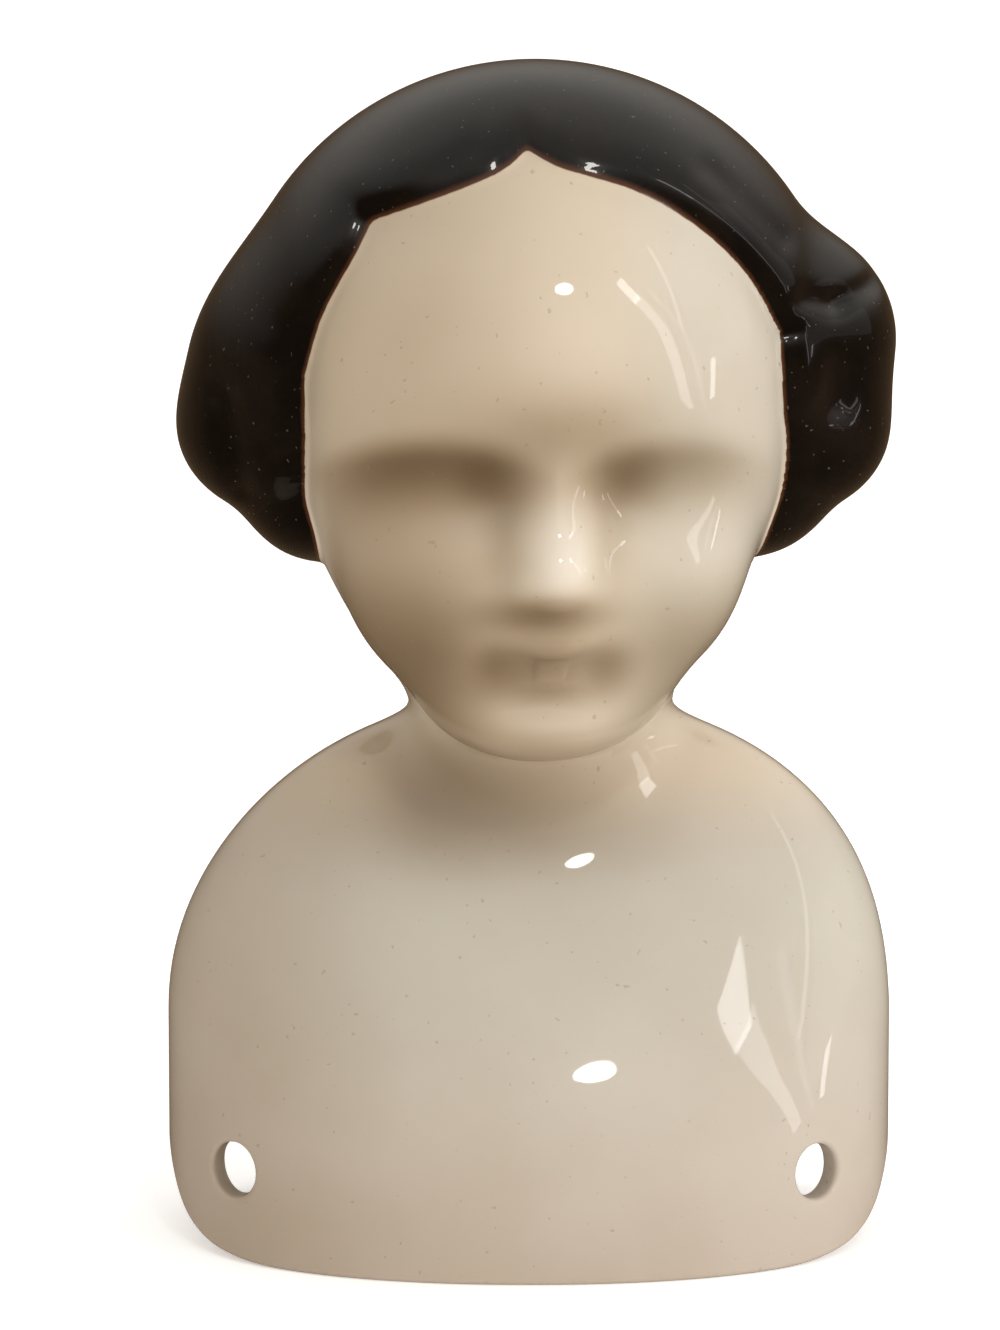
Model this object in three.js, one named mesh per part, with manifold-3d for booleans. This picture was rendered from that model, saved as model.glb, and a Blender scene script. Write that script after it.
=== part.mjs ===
// A doll's shoulder head in one piece of glazed porcelain: a head with moulded, centre-parted
// hair on a short neck and a breast plate, poured hollow and open below, with four sewing holes.
// Millimetres, +Z up, the face looks along -Y. The origin is on the ground below the middle.
//
// The form is one implicit surface, negative inside the porcelain and about a distance in
// millimetres, melted together from ellipsoids. Spun blanks are pressed onto it.

import * as THREE from 'three';
import { mergeVertices } from 'three/addons/utils/BufferGeometryUtils.js';
import Module from 'manifold-3d';

// Walls, and the arches in the rim at both sides where the arms go
const WALL = 2.5;
const ARCH_HEIGHT = 9.5;
const ARCH_FRONT = -19;
const ARCH_MIDDLE = 4;
const ARCH_BACK = 21;

// Breast plate: half width and depths, where the shoulders and the back begin rounding over, and
// how the chest bends from the rim's upright into its slope
const PLATE_HALF_WIDTH = 33.4;
const PLATE_FRONT_DEPTH = 24.4;
const PLATE_BACK_DEPTH = 22.8;
const PLATE_SQUARENESS = 2.15;
const PLATE_WIDE_UP_TO = 20;
const PLATE_DEEP_UP_TO = 11;
const SHOULDER_TOP = 49.6;
const SHOULDER_FULLNESS = 2.13;
const SHOULDER_LEAN = 1.2;
const BACK_TOP = 49;
const CHEST_SLOPE = 0.6;
const CHEST_BEND_AT = 14.4;
const CHEST_BEND = 5;
const THROAT_DEPTH = 2;

// Neck
const NECK_RADIUS = 12;
const NECK_X = 1.2;
const NECK_Y = 2.2;
const NECK_TOP = 68;

// Skull: its centre, and how far the head is turned to the figure's left
const HEAD_X = 0.7;
const HEAD_Y = -0.8;
const HEAD_Z = 79.5;
const HEAD_TURN = THREE.MathUtils.degToRad(4);
const FACE_SHIFT = 0.3;
const FACE_LEAN = 0.035;

// The hairline round the face, by its angle from the figure's left over the top, in degrees: its
// radius, how it widens to either side and narrows downwards, and its points
const HAIRLINE_RADIUS = 18.4;
const HAIRLINE_MIDDLE = 85;
const HAIRLINE_WIDENS = { left: 2.1, right: 2.3 };
const HAIRLINE_NARROWS = 0.0122;
const HAIRLINE_POINTS = [
  { at: 95.8, height: 2.1, width: 6 },
  { at: 137.6, height: 1.8, width: 10 },
  { at: 11.3, height: 0.9, width: 4 },
];
const TEMPLE_STEP = 0.55;
const ROLL_SLOPE = 1.1;
const ROLL_CREST = 2.5;
const PUFF_FLARE = 0.35;
const PUFF_CREST = 5.5;

// Curls round the back of the head
const CURLS = 7;
const CURLS_SPREAD = THREE.MathUtils.degToRad(132);

// Sewing holes: where each axis meets the plate, and its heading from straight ahead
const HOLE_RADIUS = 2.5;
const HOLES = [
  { x: -26.8, y: -15.2, z: 8.4, heading: -22 },
  { x: 26, y: -15.8, z: 8.4, heading: 30 },
  { x: -15.5, y: 21.2, z: 8.6, heading: -155 },
  { x: 15.5, y: 21.2, z: 8.6, heading: 155 },
];

// Blanks: how many columns and rows they have, and how much closer the columns stand at the face
const OUTSIDE_COLUMNS = 80;
const OUTSIDE_ROWS = { side: 3, shoulder: 7, throat: 6, face: 25, crown: 6 };
const INSIDE_COLUMNS = 30;
const INSIDE_ROWS = { side: 2, shoulder: 4, throat: 4, face: 8, crown: 3 };
const CROWDING = 0.38;
const FOOT = -6;

// Melts two distances together over a width of blend.
function melt(a, b, blend) {
  const near = Math.max(blend - Math.abs(a - b), 0) / blend;
  return Math.min(a, b) - (near * near * blend) / 4;
}

// Takes b out of a, with the edge rounded over a width of blend.
function carve(a, b, blend) {
  return -melt(-a, b, blend);
}

function ellipsoid(x, y, z, [cx, cy, cz], [rx, ry, rz]) {
  const px = x - cx;
  const py = y - cy;
  const pz = z - cz;
  const size = Math.hypot(px / rx, py / ry, pz / rz);
  const slope = Math.hypot(px / (rx * rx), py / (ry * ry), pz / (rz * rz));
  return slope < 1e-9 ? -Math.min(rx, ry, rz) : (size * (size - 1)) / slope;
}

// A rod that tapers from one radius to another, on the middle line of the face.
function rod(x, y, z, [ay, az], startRadius, [by, bz], endRadius) {
  const dy = by - ay;
  const dz = bz - az;
  const along = ((y - ay) * dy + (z - az) * dz) / (dy * dy + dz * dz);
  const t = THREE.MathUtils.clamp(along, 0, 1);
  return Math.hypot(x, y - ay - t * dy, z - az - t * dz) - startRadius - t * (endRadius - startRadius);
}

// How wide a rounded shoulder still is at a height, as a share of its full width.
function roundOver(z, from, to, fullness) {
  const climb = THREE.MathUtils.clamp((z - from) / (to - from), 0, 0.985);
  return Math.pow(1 - Math.pow(climb, fullness), 1 / fullness);
}

function plate(x, y, z) {
  const width = PLATE_HALF_WIDTH * roundOver(z, PLATE_WIDE_UP_TO, SHOULDER_TOP, SHOULDER_FULLNESS);
  const over = z - CHEST_BEND_AT;
  const chest = PLATE_FRONT_DEPTH - (CHEST_SLOPE * (over + Math.hypot(over, CHEST_BEND))) / 2;
  const back = PLATE_BACK_DEPTH * roundOver(z, PLATE_DEEP_UP_TO, BACK_TOP, 2);
  const depth = y < 0 ? Math.max(chest, THROAT_DEPTH) : back;
  const px = x - SHOULDER_LEAN * THREE.MathUtils.smoothstep(z, 22, 46);
  const across = Math.abs(px) / width + 1e-6;
  const along = Math.abs(y) / depth + 1e-6;
  const n = PLATE_SQUARENESS;
  const size = Math.pow(Math.pow(across, n) + Math.pow(along, n), 1 / n);
  const steep = Math.hypot(Math.pow(across, n - 1) / width, Math.pow(along, n - 1) / depth);
  return Math.max((size - 1) / (Math.pow(size, 1 - n) * steep), z - SHOULDER_TOP);
}

function neck(x, y, z) {
  return Math.max(Math.hypot(x - NECK_X, y - NECK_Y) - NECK_RADIUS, z - NECK_TOP);
}

// Skull and face in the head's own axes. The features are worn soft, and lean a little aside.
function face(x, y, z) {
  const px = x - FACE_SHIFT - FACE_LEAN * z;
  const side = Math.abs(px);
  let d = ellipsoid(x, y, z, [0, 0, 0], [24.3, 25.3, 26]);
  d = melt(d, ellipsoid(px, y, z, [0, -5.4, -12.6], [17.6, 18.8, 20.6]), 7); // jaw
  d = melt(d, ellipsoid(side, y, z, [8.4, -13.2, -16.6], [8.7, 9, 9.6]), 4); // cheeks
  d = melt(d, ellipsoid(px, y, z, [0, -16.6, -27.4], [9.4, 6.4, 5.6]), 6); // chin
  d = melt(d, ellipsoid(px, y, z, [0, -16.6, -22.5], [8.5, 6, 6.5]), 6.5); // round the mouth
  d = carve(d, ellipsoid(side, y, z, [10, -28, -9], [9.2, 5, 3.4]), 5.6); // eye hollows
  d = carve(d, ellipsoid(side, y, z, [6, -25, -8.8], [2.6, 2.2, 2]), 3.4); // their inner corners
  d = melt(d, rod(px, y, z, [-20.1, -6.4], 2.4, [-23.4, -15], 2.8), 3.4); // bridge of the nose
  d = melt(d, ellipsoid(px, y, z, [0.2, -24.4, -15.9], [2.7, 2.8, 2.4]), 2); // tip
  d = melt(d, ellipsoid(side, y, z, [2.2, -23.1, -16.8], [1.5, 1.9, 1.4]), 1.8); // wings
  d = melt(d, ellipsoid(px, y, z, [0, -21.5, -22.3], [4.8, 1.6, 1.5]), 2); // upper lip
  d = melt(d, ellipsoid(px, y, z, [0, -21.4, -25], [3.6, 1.5, 1.2]), 2); // lower lip
  d = carve(d, ellipsoid(px, y, z, [0, -24.4, -23.7], [4.6, 1, 0.4]), 0.9); // between the lips
  d = carve(d, ellipsoid(side, y, z, [5, -24.8, -23.9], [2.2, 1.5, 1.8]), 3); // their corners
  d = carve(d, ellipsoid(px, y, z, [0, -24.4, -27], [4.2, 1.4, 0.9]), 2); // below the lower lip
  return d;
}

// How far a point of the head lies outside the hairline, seen from in front.
function outsideHairline(x, z) {
  const angle = THREE.MathUtils.radToDeg(Math.atan2(Math.max(z, 0), x));
  const aside = (angle - HAIRLINE_MIDDLE) / HAIRLINE_MIDDLE;
  const widens = aside < 0 ? HAIRLINE_WIDENS.left : HAIRLINE_WIDENS.right;
  let radius = HAIRLINE_RADIUS + widens * aside * aside;
  radius += TEMPLE_STEP * THREE.MathUtils.smoothstep(angle, 168, 182);
  for (const { at, height, width } of HAIRLINE_POINTS) {
    radius += height * Math.exp(0.2 - Math.hypot((angle - at) / width, 0.2));
  }
  return Math.hypot(x, Math.max(z, 0)) - radius + HAIRLINE_NARROWS * Math.min(z, 0) ** 2;
}

// The mass of the moulded hair in the head's own axes: a cap, and a puff over each ear.
function hairMass(x, y, z) {
  const cap = ellipsoid(x, y, z, [-0.1, 1.3, 0.4], [28.3, 27.4, 27.7]);
  let d = carve(cap, z + 6, 5);
  d = melt(d, ellipsoid(x, y, z, [-21.4, 1.5, -1.8], [10.4, 13, 11.8]), 6);
  d = melt(d, ellipsoid(x, y, z, [-23.2, 1.8, -5.4], [9.2, 12, 7.4]), 3);
  d = melt(d, ellipsoid(x, y, z, [23, 1.5, 2.6], [10, 12.6, 10.4]), 3);
  return melt(d, ellipsoid(x, y, z, [22.6, 1.8, -5.2], [10, 12.4, 8.6]), 3);
}

// The whole hair in the head's own axes, with curl ends under the puffs and curls round the back,
// for a bare head whose distance is known. Over the forehead its edge is a roll that slopes back.
function hair(x, y, z, bare) {
  let d = hairMass(x, y, z);
  d = melt(d, ellipsoid(x, y, z, [-19, 2.4, -12.4], [7.2, 10.5, 5.3]), 2.4);
  d = melt(d, ellipsoid(x, y, z, [18.2, 2.6, -12.4], [8.3, 10.6, 5.3]), 2.4);
  for (let k = 0; k < CURLS; k++) {
    const turn = CURLS_SPREAD * (k / (CURLS - 1) - 0.5);
    const middle = [21.5 * Math.sin(turn), 21.2 * Math.cos(turn), -4];
    d = melt(d, ellipsoid(x, y, z, middle, [7.2, 7.2, 13.5]), 2.6);
  }
  const top = THREE.MathUtils.smoothstep(z, 5, 15);
  const roll = top * ROLL_SLOPE * Math.max(bare, -1);
  const puff = (1 - top) * (PUFF_FLARE * (-12.5 - y) - 0.4);
  const edge = (outsideHairline(x, z) - roll - puff) / Math.hypot(1, top * ROLL_SLOPE);
  return carve(d, Math.max(edge, y - 3), THREE.MathUtils.lerp(PUFF_CREST, ROLL_CREST, top));
}

function intoHead(x, y) {
  const px = x - HEAD_X;
  const py = y - HEAD_Y;
  const c = Math.cos(HEAD_TURN);
  const s = Math.sin(HEAD_TURN);
  return [px * c + py * s, py * c - px * s];
}

// All that isn't hair.
function skin(x, y, z) {
  const [hx, hy] = intoHead(x, y);
  const head = melt(face(hx, hy, z - HEAD_Z), neck(x, y, z), 5);
  return melt(head, plate(x, y, z), 3.5);
}

function outside(x, y, z) {
  const [hx, hy] = intoHead(x, y);
  const bare = skin(x, y, z);
  return melt(bare, hair(hx, hy, z - HEAD_Z, bare), 1);
}

function inside(x, y, z) {
  const [hx, hy] = intoHead(x, y);
  const smooth = melt(skin(x, y, z), hairMass(hx, hy, z - HEAD_Z), 4);
  return Math.max(smooth, outside(x, y, z)) + WALL;
}

// The point on the middle line that a blank's vertex is pressed away from, for its height.
function heart(z, target) {
  const upper = THREE.MathUtils.smoothstep(z, 43, 54);
  const lower = Math.min(z, 22);
  return target.set(1.2 * upper, 3 * upper * (1 - upper) - 1.5 * upper, lower + upper * (76 - lower));
}

// The profile of a spun blank from its foot up to the crown, as radius and height.
function profile(inset, { side, shoulder, throat, face, crown }) {
  const v = (radius, height) => new THREE.Vector2(radius, height);
  const arc = (from, to) => new THREE.EllipseCurve(0, HEAD_Z, 27 - inset, 27 - inset, from, to, false);
  const temple = THREE.MathUtils.degToRad(38);
  const skull = arc(THREE.MathUtils.degToRad(-60), temple);
  const edge = PLATE_HALF_WIDTH - inset;
  const nape = v(15 - inset, 46);
  const points = [
    v(0, FOOT - inset),
    ...new THREE.LineCurve(v(edge, FOOT - inset), v(edge, 22)).getPoints(side),
    ...new THREE.QuadraticBezierCurve(v(edge, 22), v(edge, 42), nape).getPoints(shoulder).slice(1),
    ...new THREE.QuadraticBezierCurve(nape, v(10 - inset, 50), skull.getPoint(0)).getPoints(throat).slice(1),
    ...skull.getPoints(face).slice(1),
    ...arc(temple, Math.PI / 2).getPoints(crown).slice(1),
  ];
  points.at(-1).x = 0;
  return points;
}

// Spins a profile with its columns crowded towards the face, then moves each vertex along the
// line from the heart through it until it lies on the form.
function press(points, columns, form) {
  const geometry = new THREE.LatheGeometry(points, columns).rotateX(Math.PI / 2);
  const { position } = geometry.attributes;
  const foot = points[0].y;
  const middle = new THREE.Vector3();
  const heading = new THREE.Vector3();
  for (let i = 0; i < position.count; i++) {
    const radius = Math.hypot(position.getX(i), position.getY(i));
    const even = Math.atan2(position.getX(i), -position.getY(i));
    const angle = even - CROWDING * Math.sin(even);
    const z = position.getZ(i);
    heart(z, middle);
    const lowered = 4 * Math.cos(angle) * Math.exp(-(((z - 50) / 6) ** 2));
    const flat = 1 - 0.3 * THREE.MathUtils.smoothstep(-z, -50, -24);
    heading.set(radius * Math.sin(angle), -radius * flat * Math.cos(angle), z - lowered);
    if (z === foot && radius < 1) {
      position.setXYZ(i, 0, 0, z);
      continue;
    }
    heading.sub(middle).normalize();
    const at = (t) => form(
      middle.x + t * heading.x,
      middle.y + t * heading.y,
      middle.z + t * heading.z,
    );
    let within = 0;
    while (at(within + 0.4) < 0) within += 0.4;
    let without = within + 0.4;
    for (let k = 0; k < 16; k++) {
      const half = (within + without) / 2;
      if (at(half) < 0) within = half;
      else without = half;
    }
    middle.addScaledVector(heading, within);
    position.setXYZ(i, middle.x, middle.y, middle.z);
  }
  return geometry;
}

const wasm = await Module();
wasm.setup();

function solid(geometry) {
  const bare = geometry.clone();
  bare.deleteAttribute('normal');
  bare.deleteAttribute('uv');
  const merged = mergeVertices(bare, 1e-4);
  return new wasm.Manifold(
    new wasm.Mesh({
      numProp: 3,
      vertProperties: new Float32Array(merged.attributes.position.array),
      triVerts: new Uint32Array(merged.index.array),
    }),
  );
}

function geometryOf(manifold) {
  const mesh = manifold.getMesh();
  const geometry = new THREE.BufferGeometry();
  geometry.setAttribute('position', new THREE.BufferAttribute(mesh.vertProperties, 3));
  geometry.setIndex(new THREE.BufferAttribute(mesh.triVerts, 1));
  geometry.computeVertexNormals();
  return geometry;
}

function sewingHole({ x, y, z, heading }) {
  const drill = new THREE.CylinderGeometry(HOLE_RADIUS, HOLE_RADIUS, 16, 24);
  return drill.rotateZ(THREE.MathUtils.degToRad(heading)).translate(x, y, z);
}

// The arches at both sides as one long cutter, which the rim flows into without a corner.
function armArches() {
  const arch = new THREE.Shape();
  arch.moveTo(ARCH_FRONT - 8, -5);
  arch.lineTo(ARCH_FRONT - 8, -1e-3);
  arch.lineTo(ARCH_FRONT, -1e-3);
  arch.bezierCurveTo(ARCH_FRONT + 13, 0, ARCH_MIDDLE - 10, ARCH_HEIGHT, ARCH_MIDDLE, ARCH_HEIGHT);
  arch.bezierCurveTo(ARCH_MIDDLE + 9, ARCH_HEIGHT, ARCH_BACK - 6, 0, ARCH_BACK, -1e-3);
  arch.lineTo(ARCH_BACK + 8, -1e-3);
  arch.lineTo(ARCH_BACK + 8, -5);
  const cutter = new THREE.ExtrudeGeometry(arch, { depth: 100, bevelEnabled: false, curveSegments: 12 });
  return cutter.translate(0, 0, -50).rotateX(Math.PI / 2).rotateZ(Math.PI / 2);
}

function shoulderHead() {
  const outer = press(profile(0, OUTSIDE_ROWS), OUTSIDE_COLUMNS, outside);
  const inner = press(profile(WALL, INSIDE_ROWS), INSIDE_COLUMNS, inside);
  const ground = new THREE.BoxGeometry(200, 200, 40).translate(0, 0, -20);
  let shell = solid(outer);
  for (const cutter of [inner, ground, armArches(), ...HOLES.map(sewingHole)]) {
    shell = shell.subtract(solid(cutter));
  }
  const glaze = new THREE.MeshStandardMaterial({ color: '#d8cdbb', roughness: 0.12, metalness: 0 });
  const mesh = new THREE.Mesh(geometryOf(shell), glaze);
  mesh.name = 'shoulder_head';
  return mesh;
}

const doll = new THREE.Group();
doll.add(shoulderHead());

export default doll;
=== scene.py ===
import math

import bmesh
import bpy
import numpy as np
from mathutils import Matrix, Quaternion, Vector


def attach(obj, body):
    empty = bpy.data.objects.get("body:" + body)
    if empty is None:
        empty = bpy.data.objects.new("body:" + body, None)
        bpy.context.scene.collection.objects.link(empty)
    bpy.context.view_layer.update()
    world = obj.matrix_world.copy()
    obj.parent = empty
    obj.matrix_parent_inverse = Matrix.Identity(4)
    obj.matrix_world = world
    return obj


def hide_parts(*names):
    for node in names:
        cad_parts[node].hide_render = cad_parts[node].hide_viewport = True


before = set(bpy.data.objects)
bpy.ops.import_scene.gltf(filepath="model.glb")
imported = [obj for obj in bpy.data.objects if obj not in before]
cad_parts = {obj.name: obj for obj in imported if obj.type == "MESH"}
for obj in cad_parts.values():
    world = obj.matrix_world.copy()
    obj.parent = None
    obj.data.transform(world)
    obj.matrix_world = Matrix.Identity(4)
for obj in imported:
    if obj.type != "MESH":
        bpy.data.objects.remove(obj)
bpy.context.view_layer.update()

# A doll's shoulder head in glazed porcelain, on pale paper. Its form is worked out in
# millimetres, +Z up, the face looking along -Y, and made into metres at the end. A form is a
# distance that is negative inside the porcelain, and ellipsoids are melted together into it.

MM = 0.001

# The wall, and how far the glaze lies inside the solid's surface
WALL = 2.5
GLAZE_INSET = 0.06

# The rim: its rounded lip, and its arches at both sides where the arms go, with the reach of each
# end of their two curves
LIP_ROUNDING = 0.7
LIP_ROWS = 4
ARCH_HEIGHT = 9.5
ARCH_FRONT = -19
ARCH_MIDDLE = 4
ARCH_BACK = 21
ARCH_FRONT_REACH = (13, 10)
ARCH_BACK_REACH = (9, 6)

# Breast plate: half width and depths, where the shoulders and the back begin rounding over, and
# how the chest bends from the rim's upright into its slope
PLATE_HALF_WIDTH = 33.4
PLATE_FRONT_DEPTH = 24.4
PLATE_BACK_DEPTH = 22.8
PLATE_SQUARENESS = 2.15
PLATE_WIDE_UP_TO = 20
PLATE_DEEP_UP_TO = 11
SHOULDER_TOP = 49.6
CHEST_SLOPE = 0.6
CHEST_BEND_AT = 14.4
CHEST_BEND = 5
THROAT_DEPTH = 2
BACK_TOP = 49
SHOULDER_FULLNESS = 2.13
SHOULDER_LEAN = 1.2
SHOULDER_LEAN_HEIGHTS = (22, 46)

# Neck
NECK_RADIUS = 12
NECK_X = 1.2
NECK_Y = 2.2
NECK_TOP = 68

# Skull: its centre, how far the head is turned to the figure's left, how far the features lie
# aside and lean, and over what half width the face's two sides are joined
HEAD_X = 0.7
HEAD_Y = -0.8
HEAD_Z = 79.5
HEAD_TURN = math.radians(4)
FACE_SHIFT = 0.3
FACE_LEAN = 0.035
FACE_JOIN = 0.7

# The hairline round the face, by its angle from the figure's left over the top, in degrees: its
# radius, how it widens to either side and narrows downwards, and the angle, height and width of
# its points
HAIRLINE_RADIUS = 18.4
HAIRLINE_MIDDLE = 85
HAIRLINE_WIDENS = (2.1, 2.3)
HAIRLINE_NARROWS = 0.0122
HAIRLINE_POINTS = [(95.8, 2.1, 6), (137.6, 1.8, 10), (11.3, 0.9, 4)]
TEMPLE_STEP = 0.55
TEMPLE_ANGLES = (168, 182)

# The hair's edge, as far back as it goes: a roll over the forehead, and a puff beside each cheek
EDGE_BACK = 3
ROLL_HEIGHTS = (5, 15)
ROLL_SLOPE = 1.1
ROLL_CREST = 1.5
PUFF_FLARE = 0.35
PUFF_FRONT = -12.5
PUFF_OVERHANG = 0.4
PUFF_CREST = 5

# Worn dents and folds in the front of the hair, as seen from there: from, to, depth, half width.
# They fade out towards the back.
DENTED_DEPTHS = (-6, 2)
HAIR_DENTS = [
    ((22.6, 7.2), (26, 6.6), 0.55, 1),
    ((26, 6.6), (29.6, 7.8), 0.55, 1),
    ((26.4, 0.6), (26.2, -2.4), 0.8, 1.5),
    ((-21.5, 4), (-21.9, 2), 0.7, 3.4),
    ((-28.4, -1.5), (-27, -10), 0.7, 1.3),
    ((-7, 20.4), (-14, 15.4), 0.3, 1.2),
    ((14, 18.6), (20.8, 12.4), 0.3, 1.2),
]

# Curls round the back of the head: how many, over what angle, the ring they stand on, which is
# wider than it is deep, and their size
CURLS = 7
CURLS_SPREAD = math.radians(132)
CURL_RING = (21.5, 21.2, -4)
CURL_SIZE = (7.2, 7.2, 13.5)

# Sewing holes: where each axis meets the plate, and its heading from straight ahead in degrees
HOLE_RADIUS = 2.5
HOLE_ROUNDING = 0.45
HOLES = [
    (-26.8, -15.2, 8.4, -22),
    (26, -15.8, 8.4, 30),
    (-15.5, 21.2, 8.6, -155),
    (15.5, 21.2, 8.6, 155),
]

# The spun blank: its columns, how much closer they stand at the face, and its rows
COLUMNS = 288
CROWDING = 0.38
EVEN = 2 * math.pi * np.arange(COLUMNS) / COLUMNS
ANGLE = EVEN - CROWDING * np.sin(EVEN)
OUTER_ROWS = {"side": 38, "shoulder": 30, "throat": 24, "face": 138, "crown": 18}
INNER_ROWS = {"side": 38, "shoulder": 7, "throat": 6, "face": 12, "crown": 4}

# The blank's profile: an upright side, a shoulder, a nape and a skull, with angles in degrees
SIDE_TOP = 22
SHOULDER_BEND = 42
NAPE_RADIUS = 15
NAPE_HEIGHT = 46
THROAT_RADIUS = 10
THROAT_HEIGHT = 50
SKULL_RADIUS = 27
SKULL_FOOT = -60
FACE_TOP = 62

# The heart that the blank is pressed away from: for rows between two heights it moves up from
# the plate into the head, and bows back on its way
HEART_RISES = (43, 54)
HEART_X = 1.2
HEART_Y = -1.5
HEART_Z = 76
HEART_BOW = 3

# How the blank's rows dip in front at the throat, and how flat it is from front to back below
DIP = 4
DIP_HEIGHT = 50
DIP_WIDTH = 6
FLATNESS = 0.3
FLAT_UP_TO = 24
ROUND_FROM = 50

# How a vertex finds the form: strides that follow the depth, then halvings
FIRST_STRIDE = 0.5
LEAST_STRIDE = 0.35
STRIDE_BY_DEPTH = 0.6
HALVINGS = 13

# The rings round a sewing hole: half the width of the block of faces that is taken out, how many
# rings are moved, how many of them make the rounded edge, how far behind the hole a vertex is
# left out, how often the rings settle on the wall, how much it slants, and the cuts in the bore
HOLE_BLOCK = 5
HOLE_REACH = 10
ROUNDING_RINGS = 2
HOLE_BEHIND = 8
SETTLINGS = 14
WALL_SLANT = 0.95
BORE_CUTS = 3

# The brown in the eye hollows, partly glaze pooling and partly painted shade, darker on the side
# away from the window: how strong it is in the middle, how it fades to the figure's left, and its
# middle aside, height, half width, arch, and reach up and down
BROW_POOL_AND_SHADE = 0.52
BROW_SHADE_FADE = 0.0135
BROW_ASIDE = 10.4
BROW_HEIGHT = -6.2
BROW_WIDTH = 8.4
BROW_ARCH = 1.6
BROW_UP = 1.9
BROW_DOWN = 3.8

# Soft round places in the head's own axes: strength, middle aside and up, half width, half
# height, and whether they lie on both sides. Brown painted shade lies in the face's hollows and
# under its features, with some glaze pooling, and painted shadow lies on the throat under the
# chin. A paler cream is painted light on the nose and chin, where the glaze is also thinner and
# the porcelain shows through.
FACE_POOLS_AND_SHADE = [
    (0.24, 6.2, -7.9, 2.6, 2.4, True),  # inner corners of the eyes
    (0.32, 0.5, -3.8, 9, 3.8, False),  # between the brows
    # Painted shadow under the nose
    (0.56, -0.8, -19.3, 4.6, 1.5, False),  # under the nose
    (0.14, 4.6, -12.5, 1.6, 4, True),  # beside the nose
    (0.24, -0.3, -23.5, 7, 4.5, False),  # round the mouth
    (0.24, 4.8, -24.1, 2, 2, True),  # corners of the mouth
    (0.18, -0.3, -24.3, 5.2, 2.2, False),  # lips
    (0.12, -0.4, -23.1, 5, 1, False),  # between the lips
    (0.18, -0.5, -26.3, 4, 1.1, False),  # below the lower lip
    # Painted shadow under the chin
    (0.3, 0, -32.5, 9, 2.5, False),  # under the chin
]
# Painted shadow on the throat under the chin, as soft round places in the same columns
THROAT_SHADOW = [
    (0.26, -2, -37, 13, 5, False),
    (0.2, -9, -38, 5, 5, False),
    (0.14, 0, -42, 12, 3, False),
]
# Painted light on the nose and chin, where the glaze is also thinner
PROUD_PAINTED_LIGHT_PLACES = [
    (0.95, 0.4, -12.5, 3, 3.8, False),  # bridge of the nose
    (0.5, 0.3, -15.8, 3, 2, False),  # tip of the nose
    (0.3, -0.5, -28.5, 5, 2.4, False),  # chin
]
MOST_POOLED_AND_SHADE = 1.1

# Where the glaze's marks and the painted light and shade begin and end: under the chin, towards
# the front of the face, over its lit cheek, at the top of the plate, in its paler middle, on its
# shaded side, and at the bare inner wall, by the distance from it
CHIN_FOOT = -34
FACE_FRONT = (6, 14)
LIT_CHEEK = (2, 12)
PLATE_ENDS = (34, 44)
PAINTED_LIGHT_RISES = (2, 30)
SHADED_SHOULDER = (14, 30)
INNER_WALL = 0.4
BARE_DEPTHS = (0.1, 0.6)

# Colours of the glaze: pairs that soft patches lie between, and single ones. The lit cream and
# the raised cream are painted light, and the brown is painted shade with some glaze pooling
FACE_CREAM = (0.64, 0.545, 0.42, 1), (0.67, 0.575, 0.455, 1)
PLATE_CREAM = (0.53, 0.455, 0.37, 1), (0.575, 0.50, 0.43, 1)
LIT_CREAM = (0.54, 0.495, 0.42, 1), (0.57, 0.53, 0.45, 1)
HAIR_BLACK = (0.003, 0.002, 0.0015, 1), (0.008, 0.005, 0.0035, 1)
PROUD_PAINTED_LIGHT_CREAM = (0.86, 0.80, 0.71, 1)
POOLED_AND_SHADE_BROWN = (0.193, 0.142, 0.091, 1)
SPECK_BROWN = (0.30, 0.20, 0.12, 1)
THIN_BROWN = (0.085, 0.028, 0.010, 1)
DUST_BROWN = (0.16, 0.13, 0.10, 1)
BARE_PORCELAIN = (0.62, 0.56, 0.47, 1)

# The camera, in front of the head: what it looks at, how far off and how high up it stands, and
# the height of what it sees, as the photograph's rows of pixels by the size of one
AIM = Vector((-2.66, 0, 52.25)) * MM
DISTANCE = 480 * MM
CAMERA_UP = math.radians(8)
PICTURE_ROWS = 1330
ROW_SIZE = 0.0918
NEAREST_SEEN = 0.01

# A pale sheet of paper that rises behind the head, in metres: its line from front to top, as
# depth and height, its half width, and how brightly it glows
PAPER_LINE = [(-0.9, 0), (0.25, 0), (0.42, 0.02), (0.55, 0.09), (0.62, 0.22), (0.64, 1.1)]
PAPER_HALF_WIDTH = 1.2
PAPER_WHITE = (0.95, 0.955, 0.965)
PAPER_SHADE = 0.985
PAPER_ROUGHNESS = 0.9
PAPER_GLOW = 0.36

# Lamps: the point they face, in metres, and the colours of their light
LAMP_AIM = Vector((0, 0, 0.055))
WINDOW_TILT = 33
FRONT_WHITE = (1, 0.985, 0.96)
SKY_WHITE = (0.95, 0.985, 1)
WINDOW_WHITE = (1, 0.985, 1)
WINDOW_LILAC = (0.93, 0.9, 1)
CEILING_WHITE = (1, 0.97, 0.9)

# The room that the glaze mirrors: brown below one height and pale above another
ROOM_LOW = 0.1
ROOM_HIGH = 0.7
ROOM_BROWN = (0.14, 0.09, 0.05, 1)
ROOM_PALE = (0.86, 0.82, 0.76, 1)


def melt(a, b, blend):
    """Joins two forms, with the crease between them filled over a width of blend."""
    near = np.maximum(blend - np.abs(a - b), 0) / blend
    return np.minimum(a, b) - near * near * blend / 4


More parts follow.
